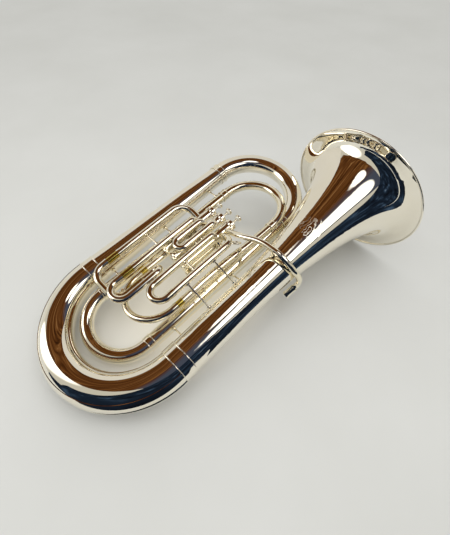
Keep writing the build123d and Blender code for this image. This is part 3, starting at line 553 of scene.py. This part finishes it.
def soft_lamp(name, centre, half, strength, colour=(1.0, 0.99, 0.96)):
    """A lamp whose glow fades out toward an oval edge, over whatever is behind it."""
    material, tree, shader = new_material(name)
    tree.nodes.remove(shader)
    place = tree.nodes.new("ShaderNodeTexCoord")
    mapping = tree.nodes.new("ShaderNodeMapping")
    mapping.vector_type = "TEXTURE"
    mapping.inputs["Location"].default_value = centre
    mapping.inputs["Scale"].default_value = half
    tree.links.new(place.outputs["Object"], mapping.inputs["Vector"])
    oval = tree.nodes.new("ShaderNodeTexGradient")
    oval.gradient_type = "SPHERICAL"
    tree.links.new(mapping.outputs["Vector"], oval.inputs["Vector"])
    lamp = tree.nodes.new("ShaderNodeEmission")
    lamp.inputs["Color"].default_value = (*colour, 1.0)
    lamp.inputs["Strength"].default_value = strength
    clear = tree.nodes.new("ShaderNodeBsdfTransparent")
    either = tree.nodes.new("ShaderNodeMixShader")
    tree.links.new(spread(tree, oval.outputs["Fac"], 0.02, 0.35, 0.0, 1.0), either.inputs["Fac"])
    tree.links.new(clear.outputs["BSDF"], either.inputs[1])
    tree.links.new(lamp.outputs["Emission"], either.inputs[2])
    tree.links.new(either.outputs["Shader"], tree.nodes["Material Output"].inputs["Surface"])
    return material


WOOD = glow("ceiling_planks", [(0.32, (0.026, 0.009, 0.003)), (0.48, (0.085, 0.030, 0.008)),
                               (0.6, (0.16, 0.066, 0.020)), (0.74, (0.32, 0.17, 0.07))],
            (0.8, 8.0, 1.0), 6.0, ((0.055, 0.065, 0.10), -0.15, -0.85))
NAVY = glow("dark_cloth", [(0.3, (0.003, 0.004, 0.007)), (0.55, (0.010, 0.018, 0.035)),
                           (0.72, (0.05, 0.09, 0.16)), (0.8, (0.30, 0.33, 0.36))],
            (3.0, 3.0, 5.0), 6.0)
WALL = glow("wall_paint", [(0.2, (0.62, 0.60, 0.55)), (0.8, (0.72, 0.70, 0.65))],
            (1.0, 1.0, 1.0), 3.0)


def lamp_card(name, centre, facing, half, strength):
    """A soft oval lamp with its own card: half is its reach in X, Y and Z."""
    width, height = (2 * half[0], 2 * half[1]) if facing[2] else (2 * half[1], 2 * half[2])
    return card(name, centre, facing, width, height,
                soft_lamp(name + "_glow", centre, half, strength))


ALONG_WALL = Vector((0.728, -0.686, 0.0)).normalized()
EDGE = -0.47 * WALL_WAY - 0.7 * ALONG_WALL
BELL_EDGE = -0.37 * WALL_WAY + 0.87 * ALONG_WALL
PERSON = -1.15 * WALL_WAY + 0.1 * ALONG_WALL
cards = [
    card("ceiling", (0.9, 0.4, 1.95), (0, 0, -1), 4.8, 5.2, WOOD),
    lamp_card("long_lamp", (0.35, -1.00, 1.45), (0, 0, -1), (0.70, 0.50, 1.0), 3.2),
    lamp_card("small_lamp", (0.02, -0.22, 1.35), (0, 0, -1), (0.24, 0.20, 1.0), 2.4),
    lamp_card("window", (-1.46, 1.40, 1.00), (1, 0, 0), (1.0, 0.85, 1.15), 2.4),
    card("wall", (0.511, 0.498, 0.42), -WALL_WAY, 9.0, 0.84, WALL),
    card("floor_past_table", EDGE + Vector((0, 0, 0.08)), WALL_WAY, 1.64, 0.16, NAVY),
    card("floor_by_bell", BELL_EDGE + Vector((0, 0, 0.08)), WALL_WAY, 1.5, 0.16, NAVY),
    card("dark_coat", PERSON + Vector((0, 0, 0.62)), WALL_WAY, 5.0, 1.24, NAVY),
]
for piece in cards:
    seen_in_metal_only(piece)
print("cards:", [c.name for c in cards])

# %% [markdown]
# ## Soft light
# Two wide area lights and a pale world light the table and give the horn its soft contact
# shadow. The area lights are hidden from glossy rays, so the silver doesn't show them.

# %% Lights
def soft_light(name, place, aim, size, power):
    light = bpy.data.lights.new(name, "AREA")
    light.shape = "DISK"
    light.size = size
    light.energy = power
    lamp = bpy.data.objects.new(name, light)
    bpy.context.collection.objects.link(lamp)
    lamp.location = place
    lamp.rotation_euler = (Vector(aim) - Vector(place)).to_track_quat("-Z", "Y").to_euler()
    lamp.visible_glossy = False
    lamp.visible_camera = False
    return lamp


soft_light("overhead", (0.0, -0.3, 1.8), (0, 0, 0), 1.6, 8.0)
soft_light("window_light", (-1.5, 1.2, 1.4), (0, 0, 0), 1.2, 5.0)

# %% World
world = bpy.data.worlds.new("studio")
bpy.context.scene.world = world
world.use_nodes = True
tree = world.node_tree
air = tree.nodes["Background"]
air.inputs["Color"].default_value = (0.95, 0.95, 0.93, 1)
air.inputs["Strength"].default_value = 0.95
pale = tree.nodes.new("ShaderNodeBackground")
pale.inputs["Color"].default_value = (0.62, 0.60, 0.54, 1)
pale.inputs["Strength"].default_value = 0.9
path = tree.nodes.new("ShaderNodeLightPath")
either = tree.nodes.new("ShaderNodeMixShader")
tree.links.new(path.outputs["Is Glossy Ray"], either.inputs["Fac"])
tree.links.new(air.outputs["Background"], either.inputs[1])
tree.links.new(pale.outputs["Background"], either.inputs[2])
tree.links.new(either.outputs["Shader"], tree.nodes["World Output"].inputs["Surface"])
bpy.context.scene.view_settings.view_transform = "Standard"
